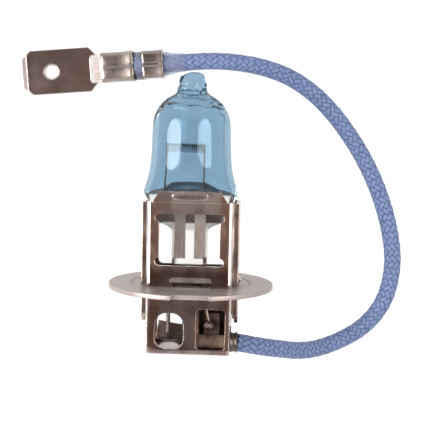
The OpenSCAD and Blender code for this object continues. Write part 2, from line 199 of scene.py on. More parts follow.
def tube_rings(path: Sequence[Vector], radius: float, sides: int = 16) -> list[Ring]:
    """Rings of a round tube along a path.

    Args:
        path: Points of the path.
        radius: Radius of the tube.
        sides: Points in each ring.

    Returns:
        One ring for each point of the path.
    """
    rings = []
    for p, (_, side, up) in zip(path, frames_along(path)):
        turn = [2 * math.pi * k / sides for k in range(sides)]
        rings.append([p + radius * (side * math.cos(t) + up * math.sin(t)) for t in turn])
    return rings


def lathe_x(
    profile: Sequence[tuple[float, float]], centre: Vector, sides: int = 48
) -> list[Ring]:
    """Rings turned about an axis along X.

    Args:
        profile: Pairs of position along X and radius.
        centre: A point on the axis; the profile's X is measured from it.
        sides: Points in each ring.

    Returns:
        One ring for each pair of the profile.
    """
    rings = []
    for x, r in profile:
        turn = [2 * math.pi * k / sides for k in range(sides)]
        rings.append([centre + Vector((x, r * math.cos(t), r * math.sin(t))) for t in turn])
    return rings


def path_length(path: Sequence[Vector]) -> float:
    """Length of a path of straight steps."""
    return sum((b - a).length for a, b in zip(path, path[1:]))


def through(table: Sequence[tuple[float, float]], x: float) -> float:
    """Reads a smooth curve through a table of pairs.

    Args:
        table: Pairs in rising order of their first value.
        x: Where to read the curve.

    Returns:
        The curve's value at x.
    """
    if x <= table[0][0]:
        return table[0][1]
    if x >= table[-1][0]:
        return table[-1][1]
    i = max(k for k, pair in enumerate(table) if pair[0] <= x)
    (x0, y0), (x1, y1) = table[i], table[i + 1]
    before, after = table[max(i - 1, 0)], table[min(i + 2, len(table) - 1)]
    t = (x - x0) / (x1 - x0)
    slope = (y1 - y0) / (x1 - x0)

    def lean(a: tuple[float, float], b: tuple[float, float]) -> float:
        """Slope from a to b, never past three times the span's own."""
        raw = (b[1] - a[1]) / max(b[0] - a[0], 1e-9)
        if raw * slope <= 0:
            return 0.0
        return math.copysign(min(abs(raw), 3 * abs(slope)), slope)

    m0, m1 = lean(before, (x1, y1)), lean((x0, y0), after)
    h = x1 - x0
    return (
        (2 * t**3 - 3 * t**2 + 1) * y0
        + (t**3 - 2 * t**2 + t) * h * m0
        + (3 * t**2 - 2 * t**3) * y1
        + (t**3 - t**2) * h * m1
    )


# ---------------------------------------------------------------- materials


class Graph:
    """Builds one material's node tree."""

    def __init__(self, name: str) -> None:
        """Starts an empty tree in a new material called name."""
        self.material = bpy.data.materials.new(name)
        self.material.use_nodes = True
        self.tree = self.material.node_tree
        self.tree.nodes.clear()

    def add(self, kind: str, **values: object) -> bpy.types.Node:
        """Adds a node.

        Args:
            kind: The node's type name without its ShaderNode prefix.
            **values: Attributes, input values, or sockets to link to inputs. An input's name is
                written with underscores for its spaces.

        Returns:
            The new node.
        """
        node = self.tree.nodes.new("ShaderNode" + kind)
        sockets: dict[str, object] = {}
        for key, value in values.items():
            if hasattr(node, key):
                setattr(node, key, value)
            else:
                sockets[key] = value
        for key, value in sockets.items():
            name = key.replace("_", " ")
            socket = node.inputs[int(key[1:])] if key[1:].isdigit() else node.inputs[name]
            if isinstance(value, bpy.types.NodeSocket):
                self.tree.links.new(value, socket)
            else:
                socket.default_value = value
        return node

    def place(self, scale: tuple[float, float, float] = (1, 1, 1)) -> bpy.types.NodeSocket:
        """The object's own coordinates in millimetres, stretched by scale."""
        where = self.add("TexCoord")
        stretch = [s / MM for s in scale]
        mapped = self.add("Mapping", Vector=where.outputs["Object"], Scale=stretch)
        return mapped.outputs["Vector"]

    def noise(
        self, scale: float, detail: float = 3, stretch: tuple[float, float, float] = (1, 1, 1)
    ) -> bpy.types.NodeSocket:
        """Noise over the object's coordinates.

        Args:
            scale: Features per millimetre.
            detail: Octaves.
            stretch: Scale of each axis.

        Returns:
            The noise's factor socket.
        """
        node = self.add("TexNoise", Vector=self.place(stretch), Scale=scale, Detail=detail)
        return node.outputs[0]

    def ramp(
        self, value: bpy.types.NodeSocket, stops: Sequence[tuple[float, Sequence[float]]]
    ) -> bpy.types.NodeSocket:
        """Turns a value into a colour through colour stops.

        Args:
            value: The value to read.
            stops: Position and linear colour of each stop.

        Returns:
            The colour socket.
        """
        node = self.add("ValToRGB", Fac=value)
        bar = node.color_ramp.elements
        while len(bar) < len(stops):
            bar.new(0.5)
        for element, (where, colour) in zip(bar, stops):
            element.position = where
            element.color = (*colour[:3], 1)
        return node.outputs["Color"]

    def grey(
        self, value: bpy.types.NodeSocket, low: float, high: float, start: float = 0.3,
        end: float = 0.7,
    ) -> bpy.types.NodeSocket:
        """Maps a value from start..end to low..high, held at both ends."""
        node = self.add("MapRange", i0=value, i1=start, i2=end, i3=low, i4=high)
        return node.outputs[0]

    def math(self, operation: str, *values: bpy.types.NodeSocket | float) -> bpy.types.NodeSocket:
        """The result of one arithmetic step on one or two values."""
        inputs = {f"i{k}": value for k, value in enumerate(values)}
        return self.add("Math", operation=operation, **inputs).outputs[0]

    def bump(
        self, height: bpy.types.NodeSocket, distance: float, strength: float = 1.0,
        normal: bpy.types.NodeSocket | None = None,
    ) -> bpy.types.NodeSocket:
        """Turns a height into a normal.

        Args:
            height: Height from 0 to 1.
            distance: The real height of 1, in millimetres.
            strength: How much of it shows.
            normal: A normal to build on.

        Returns:
            The normal socket.
        """
        node = self.add("Bump", Height=height, Distance=distance * MM, Strength=strength)
        if normal is not None:
            self.tree.links.new(normal, node.inputs["Normal"])
        return node.outputs["Normal"]

    def finish(self, shader: bpy.types.NodeSocket) -> bpy.types.Material:
        """Links the shader to the output and returns the material."""
        self.add("OutputMaterial", Surface=shader)
        return self.material


Colour = tuple[float, float, float]


class Grain(Enum):
    """Direction of a metal's rolling or brushing marks."""

    ALONG_X = (0.06, 1.0, 1.0)
    ALONG_Y = (1.0, 0.06, 1.0)
    ROUND = (1.0, 1.0, 1.0)


@dataclass(frozen=True)
class SheetMetal:
    """Plated or bare sheet metal with rolling marks, slight waves and tarnish."""

    name: str
    colour: Colour
    tarnish: Colour
    roughness: tuple[float, float]
    grain: Grain
    wave: float = 0.03
    scratch: float = 0.004
    patch: float = 0.35
    metal: float = 1.0
    streaks: float = 0.2

    def tone(self, g: Graph, patches: bpy.types.NodeSocket) -> bpy.types.NodeSocket:
        """The plating's colour between its clean and its tarnished patches.

        Args:
            g: The material's graph.
            patches: Noise that says where the tarnish lies.

        Returns:
            The colour socket.
        """
        return g.ramp(patches, [(0.35, self.tarnish), (0.62, self.colour)])

    def material(self) -> bpy.types.Material:
        """Builds the material."""
        g = Graph(self.name)
        patches = g.noise(self.patch, 4)
        marks = g.noise(9, 4, self.grain.value)
        tone = self.tone(g, patches)
        streaked = g.add(
            "MixRGB", blend_type="MULTIPLY", Fac=self.streaks, Color1=tone,
            Color2=g.ramp(marks, [(0.3, (0.7, 0.7, 0.7)), (0.65, (1, 1, 1))]),
        )
        rounded = g.add("Bevel", Radius=EDGE_RADIUS * MM).outputs["Normal"]
        fine = g.bump(marks, self.scratch, 0.6, rounded)
        waves = g.bump(g.noise(0.45, 1), self.wave, 0.5, fine)
        shader = g.add(
            "BsdfPrincipled", Base_Color=streaked.outputs[0], Metallic=self.metal,
            Roughness=g.grey(patches, *self.roughness), Normal=waves,
        )
        return g.finish(shader.outputs[0])


@dataclass(frozen=True)
class ReflectionPaintedSheet(SheetMetal):
    """Plated sheet with painted reflection: reddish strips beside its long edges, a darker band
    across it, a darker lower box and bend, and painted shade in the pocket.
    """

    # The strip, band, box and bend tints are painted reflection of the room; the pocket tint is
    # painted shade.
    strip_reflection_tint: Colour = (1.0, 0.84, 0.79)
    band_reflection_tint: Colour = (0.34, 0.30, 0.28)
    box_reflection_tint: Colour = (0.60, 0.58, 0.58)
    bend_reflection_tint: Colour = (0.62, 0.58, 0.56)
    pocket_shade_tint: Colour = (0.62, 0.60, 0.58)
    pocket: tuple[float, float, float] = (2.2, 11.7, 0.36)
    strip: tuple[float, float] = (4.0, 5.0)
    band: tuple[float, float] = (0.2, 3.4)
    box_edge: tuple[float, float] = (-1.4, -0.6)
    bend_edge: tuple[float, float] = (-8.3, -7.9)

    def tone(self, g: Graph, patches: bpy.types.NodeSocket) -> bpy.types.NodeSocket:
        """The plating's colour, with painted reflection tinted in the strips, the band, the box and
        its bend, and painted shade in the pocket.

        Args:
            g: The material's graph.
            patches: Noise that says where the tarnish lies.

        Returns:
            The colour socket.
        """
        split = g.add("SeparateXYZ", Vector=g.place())
        across = g.math("ABSOLUTE", split.outputs["X"])
        smears = g.noise(0.42, 2, (1.3, 0.7, 1))
        clean = g.ramp(smears, [(0.40, self.tarnish), (0.56, self.colour)])
        along = g.add(
            "MapRange", interpolation_type="SMOOTHSTEP", i0=across,
            i1=self.strip[0] - 0.2, i2=self.strip[0] + 0.2,
        ).outputs[0]
        out = g.grey(across, 1.0, 0.0, self.strip[1], self.strip[1] + 0.25)
        upper = g.grey(split.outputs["Y"], 0.0, 1.0, self.band[0] - 0.6, self.band[0])
        lower = g.grey(split.outputs["Y"], 1.0, 0.0, self.band[1] - 1.6, self.band[1])
        strips = g.math("MULTIPLY", along, out)
        inside = g.math("MULTIPLY", g.math("MULTIPLY", upper, lower), out)
        box = g.math("MULTIPLY", g.grey(split.outputs["Y"], 1.0, 0.0, *self.box_edge), out)
        bend = g.grey(split.outputs["Y"], 1.0, 0.0, *self.bend_edge)
        half, middle, tall = self.pocket
        off = g.math("SUBTRACT", split.outputs["Y"], middle)
        flat = g.add("CombineXYZ", X=g.grey(across, 0.0, 1.0, 0.0, half))
        rise = g.math("ABSOLUTE", off)
        g.tree.links.new(g.grey(rise, 0.0, 1.0, 0.0, tall), flat.inputs["Y"])
        reach = g.add("VectorMath", operation="LENGTH", i0=flat.outputs[0]).outputs["Value"]
        # Painted reflection in the strips, band, box and bend; painted shade in the pocket.
        shades = (
            (strips, self.strip_reflection_tint), (inside, self.band_reflection_tint), (box, self.box_reflection_tint),
            (bend, self.bend_reflection_tint), (g.grey(reach, 1.0, 0.0, 0.7, 1.05), self.pocket_shade_tint),
        )
        for share, tint in shades:
            clean = g.add(
                "MixRGB", blend_type="MULTIPLY", Fac=share, Color1=clean, Color2=(*tint, 1)
            ).outputs[0]
        return clean


@dataclass(frozen=True)
class CoatedGlass:
    """Clear quartz glass whose dome has a thin blue coating above a height."""

    name: str
    coat: Colour
    clear: Colour
    coat_from: float
    coat_full: float
    solid_from: float = 25.0
    thin_below: float = 11.0

    def material(self) -> bpy.types.Material:
        """Builds the material."""
        g = Graph(self.name)
        split = g.add("SeparateXYZ", Vector=g.place())
        height = g.add(
            "MapRange", i0=split.outputs["Y"], i1=self.coat_from, i2=self.coat_full
        )
        cloud = g.noise(0.5, 2)
        coat = g.ramp(cloud, [(0.3, [c * 0.97 for c in self.coat]), (0.7, self.coat)])
        twice = g.add(
            "MixRGB", blend_type="MULTIPLY", Color1=coat, Color2=coat,
            Fac=g.grey(split.outputs["Y"], 0.0, 0.75, self.solid_from, self.solid_from + 0.7),
        )
        tint = g.add(
            "MixRGB", Fac=height.outputs[0], Color1=(*self.clear, 1), Color2=twice.outputs[0]
        )
        waves = g.bump(g.noise(0.8, 2), 0.02, 0.35)
        shader = g.add("BsdfGlass", Color=tint.outputs[0], Roughness=0.0, IOR=1.46)
        g.tree.links.new(waves, shader.inputs["Normal"])
        thin = g.add("BsdfTransparent", Color=(*self.clear, 1))
        share = g.grey(split.outputs["Y"], 0.55, 0.0, self.thin_below - 0.6, self.thin_below)
        mix = g.add("MixShader", Fac=share, i1=shader.outputs[0], i2=thin.outputs[0])
        return g.finish(mix.outputs[0])


@dataclass(frozen=True)
class BraidYarn:
    """Dyed yarn with painted shade: dark in the crossings and along each yarn's edges, and lighter
    on its tops as painted light.
    """

    name: str
    dark: Colour
    light: Colour

    def material(self) -> bpy.types.Material:
        """Builds the material."""
        g = Graph(self.name)
        # The attribute is painted light and shade, lighter on the yarns' tops and darker in the
        # crossings; noise varies it.
        painted_crown_light = g.add("Attribute", attribute_name="painted_crown_light").outputs["Fac"]
        spread = g.noise(1.6, 3)
        fibres = g.noise(14, 3)
        painted_light_level = g.math("MULTIPLY", painted_crown_light, g.grey(spread, 0.65, 1.15))
        tone = g.ramp(painted_light_level, [(0.15, self.dark), (0.85, self.light)])
        mixed = g.add(
            "MixRGB", blend_type="MULTIPLY", Fac=0.25, Color1=tone,
            Color2=g.ramp(fibres, [(0.3, (0.6, 0.62, 0.7)), (0.7, (1, 1, 1))]),
        )
        shader = g.add(
            "BsdfPrincipled", Base_Color=mixed.outputs[0], Roughness=g.grey(fibres, 0.55, 0.75),
            Sheen_Weight=0.12, Sheen_Roughness=0.4, Normal=g.bump(fibres, 0.03, 0.7),
        )
        return g.finish(shader.outputs[0])


@dataclass(frozen=True)
class ShrinkSleeve:
    """Clear shrink plastic, slightly milky and creased."""

    name: str
    colour: Colour
    milk: float

    def material(self) -> bpy.types.Material:
        """Builds the material."""
        g = Graph(self.name)
        creases = g.noise(2.5, 3, (0.4, 1, 1))
        shader = g.add(
            "BsdfPrincipled", Base_Color=(*self.colour, 1), Transmission_Weight=1 - self.milk,
            Roughness=g.grey(creases, 0.12, 0.28), IOR=1.3, Normal=g.bump(creases, 0.04, 0.5),
        )
        clear = g.add("BsdfTransparent", Color=(0.93, 0.95, 1, 1))
        mix = g.add("MixShader", Fac=0.38, i1=clear.outputs[0], i2=shader.outputs[0])
        return g.finish(mix.outputs[0])


@dataclass(frozen=True)
class MouldedPlastic:
    """Moulded or extruded plastic with a fine grain and darker soiled patches."""

    name: str
    colour: Colour
    dark: Colour
    roughness: tuple[float, float] = (0.35, 0.55)

    def material(self) -> bpy.types.Material:
        """Builds the material."""
        g = Graph(self.name)
        patches = g.noise(0.9, 4)
        grain = g.noise(12, 2)
        shader = g.add(
            "BsdfPrincipled", Base_Color=g.ramp(patches, [(0.3, self.dark), (0.7, self.colour)]),
            Roughness=g.grey(patches, *self.roughness), Normal=g.bump(grain, 0.01, 0.4),
        )
        return g.finish(shader.outputs[0])


# The cage's plate carries painted reflection in strips and bands, and painted shade in its pocket.
CAGE_PLATE = ReflectionPaintedSheet(
    "bright_plated_cage", (0.80, 0.73, 0.69), (0.56, 0.48, 0.44), (0.10, 0.18), Grain.ALONG_Y,
    wave=0.05, scratch=0.001, streaks=0.08,
)
WALL_PLATE = SheetMetal(
    "plated_side_walls", (0.52, 0.43, 0.39), (0.30, 0.24, 0.21), (0.16, 0.28), Grain.ALONG_Y,
    scratch=0.002,
)
FLANGE_STEEL = SheetMetal(
    "matte_flange_steel", (0.315, 0.27, 0.255), (0.28, 0.235, 0.225), (0.34, 0.46), Grain.ROUND,
    wave=0.01, scratch=0.004, metal=0.42, streaks=0.1,
)
BLADE_STEEL = SheetMetal(
    "tinned_blade", (0.56, 0.48, 0.45), (0.50, 0.42, 0.39), (0.08, 0.14), Grain.ALONG_X,
    wave=0.006, scratch=0.0012,
)
CRIMP_STEEL = SheetMetal(
    "tinned_crimp", (0.42, 0.375, 0.35), (0.32, 0.28, 0.26), (0.20, 0.32), Grain.ALONG_X,
    wave=0.02, scratch=0.004,
)
# Painted highlight: the neck is the same tinned steel as the crimps, made near white to stand for
# the highlight along it.
NECK_HIGHLIGHT_TIN = SheetMetal(
    "tinned_neck_painted_highlight", (0.90, 0.86, 0.83), (0.80, 0.75, 0.72), (0.16, 0.26), Grain.ALONG_X
)
DARK_STEEL = SheetMetal(
    "dull_tab_steel", (0.30, 0.24, 0.22), (0.16, 0.13, 0.12), (0.24, 0.40), Grain.ALONG_X
)
FERRULE_STEEL = SheetMetal(
    "plated_ferrule", (0.17, 0.135, 0.125), (0.12, 0.095, 0.088), (0.36, 0.46), Grain.ROUND
)
WIRE_METAL = SheetMetal(
    "drawn_wire", (0.20, 0.17, 0.16), (0.10, 0.085, 0.08), (0.30, 0.48), Grain.ALONG_Y
)
TUNGSTEN = SheetMetal(
    "wound_tungsten", (0.05, 0.05, 0.06), (0.02, 0.02, 0.025), (0.5, 0.6), Grain.ALONG_X
)
FOIL_METAL = SheetMetal(
    "sealing_foil", (0.45, 0.40, 0.38), (0.36, 0.315, 0.295), (0.45, 0.6), Grain.ALONG_Y,
    metal=0.3,
)
LIVE_BRASS = SheetMetal(
    "tinned_brass", (0.20, 0.15, 0.13), (0.09, 0.065, 0.055), (0.28, 0.42), Grain.ALONG_X
)
COPPER = SheetMetal(
    "bare_copper", (0.70, 0.40, 0.26), (0.45, 0.25, 0.17), (0.30, 0.45), Grain.ALONG_X
)
BLUE_GLASS = CoatedGlass(
    "blue_coated_glass", (0.672, 0.772, 0.838), (0.95, 0.945, 0.94), 11.3, 12.3
)
# Painted shade: the hollow's floor takes this darker blue all through, standing for shade at the
# floor of the hollow.
FLOOR_SHADE_GLASS = CoatedGlass(
    "blue_glass_floor_painted_shade", (0.56, 0.70, 0.82), (0.56, 0.70, 0.82), 11.3, 12.3
)
BLUE_YARN = BraidYarn("blue_braid_yarn", (0.022, 0.042, 0.135), (0.125, 0.182, 0.335))
CORE_PLASTIC = MouldedPlastic("blue_core", (0.04, 0.07, 0.20), (0.03, 0.05, 0.13))
SHRINK = ShrinkSleeve("clear_shrink", (0.38, 0.42, 0.54), 0.5)
LINER_PLASTIC = MouldedPlastic("brown_liner", (0.17, 0.10, 0.08), (0.08, 0.045, 0.035), (0.15, 0.3))
AMBER_SLEEVE = MouldedPlastic(
    "amber_sleeve", (0.25, 0.18, 0.14), (0.095, 0.065, 0.05), (0.10, 0.2)
)


def dress(piece: bpy.types.Object, *finishes: bpy.types.Material) -> None:
    """Gives a new piece its materials in slot order."""
    for material in finishes:
        piece.data.materials.append(material)


def place(piece: bpy.types.Object, slot: str, *nodes: str) -> None:
    """Rides a piece on the body, and hides the CAD nodes that it stands for."""
    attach(piece, BODY)
    if nodes:
        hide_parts(*nodes)
    LOG.info("%s: %d faces", piece.name, len(piece.data.polygons))


# ---------------------------------------------------------------- the lead


@dataclass
class FlyingLead:
    """The braided lead and its ferrule."""

    diameter: float = 2.4
    yarns: int = 9
    pitch: float = 7.8
    lift: float = 0.07
    yarn_width: float = 0.76
    yarn_thick: float = 0.2
    step: float = 0.14
    table: float = TABLE
    exit: Vector = field(default_factory=lambda: Vector((6.45, -7.8, 1.2)))

    def route(self) -> list[Vector]:
        """The lead's route, the same points as its CAD tube."""
        lie = self.table + self.diameter / 2
        crimp = self.table + LEAD_AT_CRIMP
        flat = [
            (23.8, -7.8), (25.9, -5.6), (27.3, -3), (28, 0), (28.1, 3),
            (27.6, 6.3), (26.7, 9.6), (25.4, 13), (23.7, 16.4), (21.6, 19.7), (19.1, 22.9),
            (16.1, 25.8), (12.6, 28), (8.8, 29.3), (5, 29.9),
        ]
        drop = [
            (8.3, -8.15, 0.95), (10.3, -8.75, -0.5), (12.4, -9.4, -2.5), (14.6, -10.1, -4.9),
            (16.8, -10.4, -7.1), (19, -10.2, -8.9), (21.4, -9.3, lie + 0.12),
        ]
        end = [
            (1.6, 30.02, lie + 0.2), (-1.9, 29.76, crimp), (-5.5, 29.45, crimp),
            (-9.15, 29.15, crimp),
        ]
        points = [self.exit.copy()] + [Vector(p) for p in drop]
        points += [Vector((x, y, lie)) for x, y in flat] + [Vector(p) for p in end]
        return route_through(points, 10)

    def braid(self, path: Sequence[Vector]) -> bpy.types.Object:
        """Weaves flat yarns both ways round the path, two over and two under.

        Args:
            path: The lead's centreline.

        Returns:
            The braid, with its core inside it.
        """
        total = path_length(path)
        marks = [0.0]
        for a, b in zip(path, path[1:]):
            marks.append(marks[-1] + (b - a).length)
        frames = frames_along(path)
        count = int(total / self.step)
        middle = self.diameter / 2 - self.lift - self.yarn_thick / 2
        skin = Skin()
        painted_crown_lights: list[float] = []
        stations: list[tuple[Vector, Vector, Vector, Vector, float]] = []
        k = 0
        for n in range(count + 1):
            s = total * n / count
            while k < len(marks) - 2 and marks[k + 1] < s:
                k += 1
            t = (s - marks[k]) / max(marks[k + 1] - marks[k], 1e-9)
            centre = path[k].lerp(path[k + 1], t)
            mixed = [frames[k][i].lerp(frames[k + 1][i], t).normalized() for i in range(3)]
            stations.append((centre, mixed[0], mixed[1], mixed[2], s))
        for way in (1, -1):
            for yarn in range(self.yarns):
                rings, painted_light_level = self.yarn_rings(stations, middle, way, yarn)
                skin.loft(rings)
                painted_crown_lights.extend(painted_light_level)
        core = tube_rings([s[0] for s in stations[::4]], middle - 0.06, 16)
        skin.loft(core, slot=1)
        painted_crown_lights.extend([0.0] * (len(skin.points) - len(painted_crown_lights)))
        made = skin.piece("braided_lead")
        # The attribute stores the painted light and shade of each point.
        made.data.attributes.new("painted_crown_light", "FLOAT", "POINT").data.foreach_set("value", painted_crown_lights)
        return made

    def yarn_rings(
        self,
        stations: Sequence[tuple[Vector, Vector, Vector, Vector, float]],
        middle: float,
        way: int,
        yarn: int,
    ) -> tuple[list[Ring], list[float]]:
        """Rings of one yarn of the braid.

        Args:
            stations: Centre, tangent, side, up and distance along the lead.
            middle: Mean radius of the weave.
            way: 1 for a yarn that winds one way, -1 for the other.
            yarn: The yarn's number.

        Returns:
            The yarn's rings, and the painted light of each of their points: 0 is painted shade in
            the crossings and at the edges, 1 is a lit top.
        """
        rings: list[Ring] = []
        painted_light_level: list[float] = []
        spin = 2 * math.pi / self.pitch
        for centre, tangent, side, up, s in stations:
            angle = way * spin * s + 2 * math.pi * yarn / self.yarns
            across = (angle + way * spin * s) * self.yarns / (2 * math.pi)
            phase = (across - yarn - 0.5) if way > 0 else (yarn - across - 0.5)
            over = way * math.cos(math.pi / 2 * phase)
            r = middle + self.lift * over
            out = side * math.cos(angle) + up * math.sin(angle)
            round_ = (up * math.cos(angle) - side * math.sin(angle)) * way
            along = (tangent + round_ * (spin * middle)).normalized()
            wide = along.cross(out)
            p = centre + out * r
            w, h = self.yarn_width / 2, self.yarn_thick / 2
            section = ((-1, 0), (-0.6, 0.85), (0, 1), (0.6, 0.85), (1, 0), (0, -0.8))
            rings.append([p + wide * (w * a) + out * (h * b) for a, b in section])
            # Painted shade: yarns passing under are darker, and each section darkens from its top
            # to its edges.
            level = min(1.0, max(0.0, 0.55 + 0.7 * over))
            painted_light_level.extend(level * share for share in (0.0, 0.75, 1.0, 0.75, 0.0, 0.0))
        return rings, painted_light_level

    def ferrule(self) -> bpy.types.Object:
        """The ferrule with its rolled lip, where the lead leaves the cage."""
        profile = [
            (-0.97, 0.77), (-0.97, 1.22), (-0.94, 1.30), (-0.80, 1.33), (-0.70, 1.28),
            (-0.60, 1.26), (-0.32, 1.25), (-0.24, 1.30), (-0.20, 1.37), (-0.12, 1.40),
            (-0.04, 1.37), (0.0, 1.30), (0.0, 1.22), (-0.06, 1.15), (-0.1, 0.77),
        ]
        skin = Skin()
        skin.loft(lathe_x(profile + [profile[0]], self.exit, 64), caps=False)
        return skin.piece("cable_ferrule_body")

    def build(self, terminal: bpy.types.Object, sleeve: bpy.types.Object) -> None:
        """Builds the lead and its ferrule.

        Args:
            terminal: The blade terminal at its far end; not used.
            sleeve: The clear sleeve on its far end; not used.
        """
        path = self.route()
        braid = self.braid(path)
        dress(braid, BLUE_YARN.material(), CORE_PLASTIC.material())
        place(braid, "blue_braid", "lead_braid")
        ferrule = self.ferrule()
        dress(ferrule, FERRULE_STEEL.material())
        place(ferrule, "ferrule_steel", "cable_ferrule")


# ---------------------------------------------------------------- the terminal


@dataclass
class BladeTerminal:
    """The flat blade with its neck, two crimps and the clear sleeve behind them."""

    tip: Vector = field(default_factory=lambda: Vector((-25.8, 27.75, TABLE)))
    turn: float = 4.8
    width: float = 6.3
    thick: float = 0.8
    length: float = 10.2
    corner: tuple[float, float] = (1.6, 1.1)
    bevel: float = 0.7
    hole_at: float = 4.5
    hole_r: float = 0.95
    sink_r: float = 1.12
    crimp_w: float = 4.2
    wrap_w: float = 3.9
    lead_h: float = LEAD_AT_CRIMP

    def in_place(self, piece: bpy.types.Object) -> bpy.types.Object:
        """Puts a piece drawn along X from the blade's tip where the terminal lies."""
        move = Matrix.Translation(self.tip * MM) @ Matrix.Rotation(
            math.radians(self.turn), 4, "Z"
        )
        piece.data.transform(move)
        return piece

    def outline(self, inset: float, tip: float) -> list[tuple[float, float]]:
        """The blade's outline.

        Args:
            inset: How far the sides are drawn in.
            tip: How far the tip is drawn back.

        Returns:
            The outline's corners, in order round it.
        """
        w = self.width / 2 - inset
        cx, cy = self.corner
        neck_w = self.crimp_w / 2 - inset
        half = [
            (tip + 0.3, self.width / 2 - cy + 0.4 * tip - inset), (max(1.0, tip + 0.32), w - 0.6),
            (cx, w), (3.2, w), (5.0, w), (7.0, w), (8.6, w),
            (self.length - 0.2, w), (self.length + 0.05, w - 0.22),
            (self.length + 0.45, neck_w + 0.35), (self.length + 0.8, neck_w),
            (self.length + 1.15, neck_w),
        ]
        return half + [(x, -y) for x, y in reversed(half)]

    def blade(self) -> bpy.types.Object:
        """The flat blade: bevelled tip, cut corners and a countersunk hole."""
        t = self.thick
        edge = 0.06
        layers = [
            (self.outline(edge, self.bevel), 0.0), (self.outline(0, self.bevel - 0.1), edge),
            (self.outline(0, 0.0), t * 0.48), (self.outline(0, 0.0), t * 0.52),
            (self.outline(0, self.bevel - 0.1), t - edge), (self.outline(edge, self.bevel), t),
        ]
        sides = 48
        turn = [2 * math.pi * k / sides for k in range(sides)]
        holes = [
            (self.sink_r, 0.0), (self.hole_r + 0.06, 0.2), (self.hole_r, 0.26),
            (self.hole_r, t - 0.26), (self.hole_r + 0.06, t - 0.2), (self.sink_r, t),
        ]
        work = bmesh.new()
        rows = [[work.verts.new((x, y, z)) for x, y in ring] for ring, z in layers]
        bores = [
            [
                work.verts.new((self.hole_at + r * math.cos(a), r * math.sin(a), z))
                for a in turn
            ]
            for r, z in holes
        ]
        for stack in (rows, bores):
            for low, high in zip(stack, stack[1:]):
                for i in range(len(low)):
                    j = (i + 1) % len(low)
                    work.faces.new((low[i], low[j], high[j], high[i]))
        for outer, bore in ((rows[0], bores[0]), (rows[-1], bores[-1])):
            edges = []
            for ring in (outer, bore):
                for i, vert in enumerate(ring):
                    pair = (vert, ring[(i + 1) % len(ring)])
                    edges.append(work.edges.get(pair) or work.edges.new(pair))
            bmesh.ops.triangle_fill(work, edges=edges, use_beauty=True)
        bmesh.ops.recalc_face_normals(work, faces=work.faces)
        bmesh.ops.scale(work, vec=(MM, MM, MM), verts=work.verts)
        mesh = bpy.data.meshes.new("terminal_blade")
        work.to_mesh(mesh)
        work.free()
        piece = bpy.data.objects.new("terminal_blade", mesh)
        bpy.context.scene.collection.objects.link(piece)
        return self.in_place(piece)

    def section(
        self, x: float, w: float, h: float, groove: float, base: float = 0.0
    ) -> Ring:
        """Cross-section of a crimp: a rounded floor and two wings rolled in to the middle.

        Args:
            x: Distance from the blade's tip.
            w: Width.
            h: Height.
            groove: Depth of the groove between the wings, from 0 to 1.
            base: Height of the underside.

        Returns:
            The section's points.
        """
        r = min(0.75, h * 0.35)
        lobe = w / 4
        out: list[tuple[float, float]] = []
        for k in range(7):
            a = -math.pi / 2 + math.pi / 2 * k / 6
            out.append((w / 2 - r + r * math.cos(a), r + r * math.sin(a)))
        steps = 14
        for k in range(steps + 1):
            a = math.pi * k / steps
            top = min(lobe, h - r)
            z = h - top + top * max(0.0, math.sin(a)) ** 0.5
            if a > math.pi / 2:
                z = h - (h - z) * groove
            out.append((lobe + math.copysign(lobe * abs(math.cos(a)) ** 0.8, math.cos(a)), z))
        full = out + [(-y, z) for y, z in reversed(out[:-1])]
        return [Vector((x, y, base + z)) for y, z in full]

    def crimp(
        self, name: str, stations: Sequence[tuple[float, float, float, float, float]],
        recess: float = 0.35,
    ) -> bpy.types.Object:
        """Lofts a crimp barrel through its stations.

        Args:
            name: Name of the piece.
            stations: Distance, width, height, groove and height of the underside.
            recess: How deep its open end is drawn in.

        Returns:
            The crimp.
        """
        rings = [self.section(*row) for row in stations]
        x, w, h, g, base = stations[-1]
        middle = Vector((x, 0, base + h / 2))
        for scale, back in ((0.86, 0.02), (0.78, recess)):
            ring = [middle + (p - middle) * scale - Vector((back, 0, 0)) for p in rings[-1]]
            rings.append(ring)
        skin = Skin()
        skin.loft(rings)
        return self.in_place(skin.piece(name))

    def channel(self) -> bpy.types.Object:
        """The open floor that joins the two crimps, with its low rolled walls."""
        skin = Skin()
        w, t, side = self.wrap_w / 2, 0.38, 1.15
        rings = []
        for x, grow in ((16.45, 0.06), (16.8, 0.0), (17.6, 0.0), (18.1, 0.04)):
            half = [
                (w + grow - 0.5, 0.0), (w + grow - 0.15, 0.12), (w + grow, 0.5),
                (w + grow, side - 0.1), (w + grow - 0.1, side), (w + grow - t + 0.1, side),
                (w + grow - t, side - 0.1), (w + grow - t, 0.7), (w - t - 0.2, 0.45),
                (w - t - 0.5, t),
            ]
            full = half + [(-y, z) for y, z in reversed(half)]
            rings.append([Vector((x, y, z)) for y, z in full])
        skin.loft(rings)
        return self.in_place(skin.piece("terminal_channel"))

    def sleeve(self) -> bpy.types.Object:
        """The clear sleeve shrunk on the lead's end, uneven and flared at the crimp."""
        skin = Skin()
        sides = 40
        gap = 0.13
        widths = (
            (16.7, 1.75), (17.1, 1.95), (17.5, 1.9), (17.9, 1.55), (18.2, 1.38), (20.6, 1.38),
            (20.95, 1.72), (21.4, 1.66), (22.3, 1.45), (23.2, 1.33), (23.85, 1.29),
        )
        spots = [16.7 + 0.275 * k for k in range(27)]

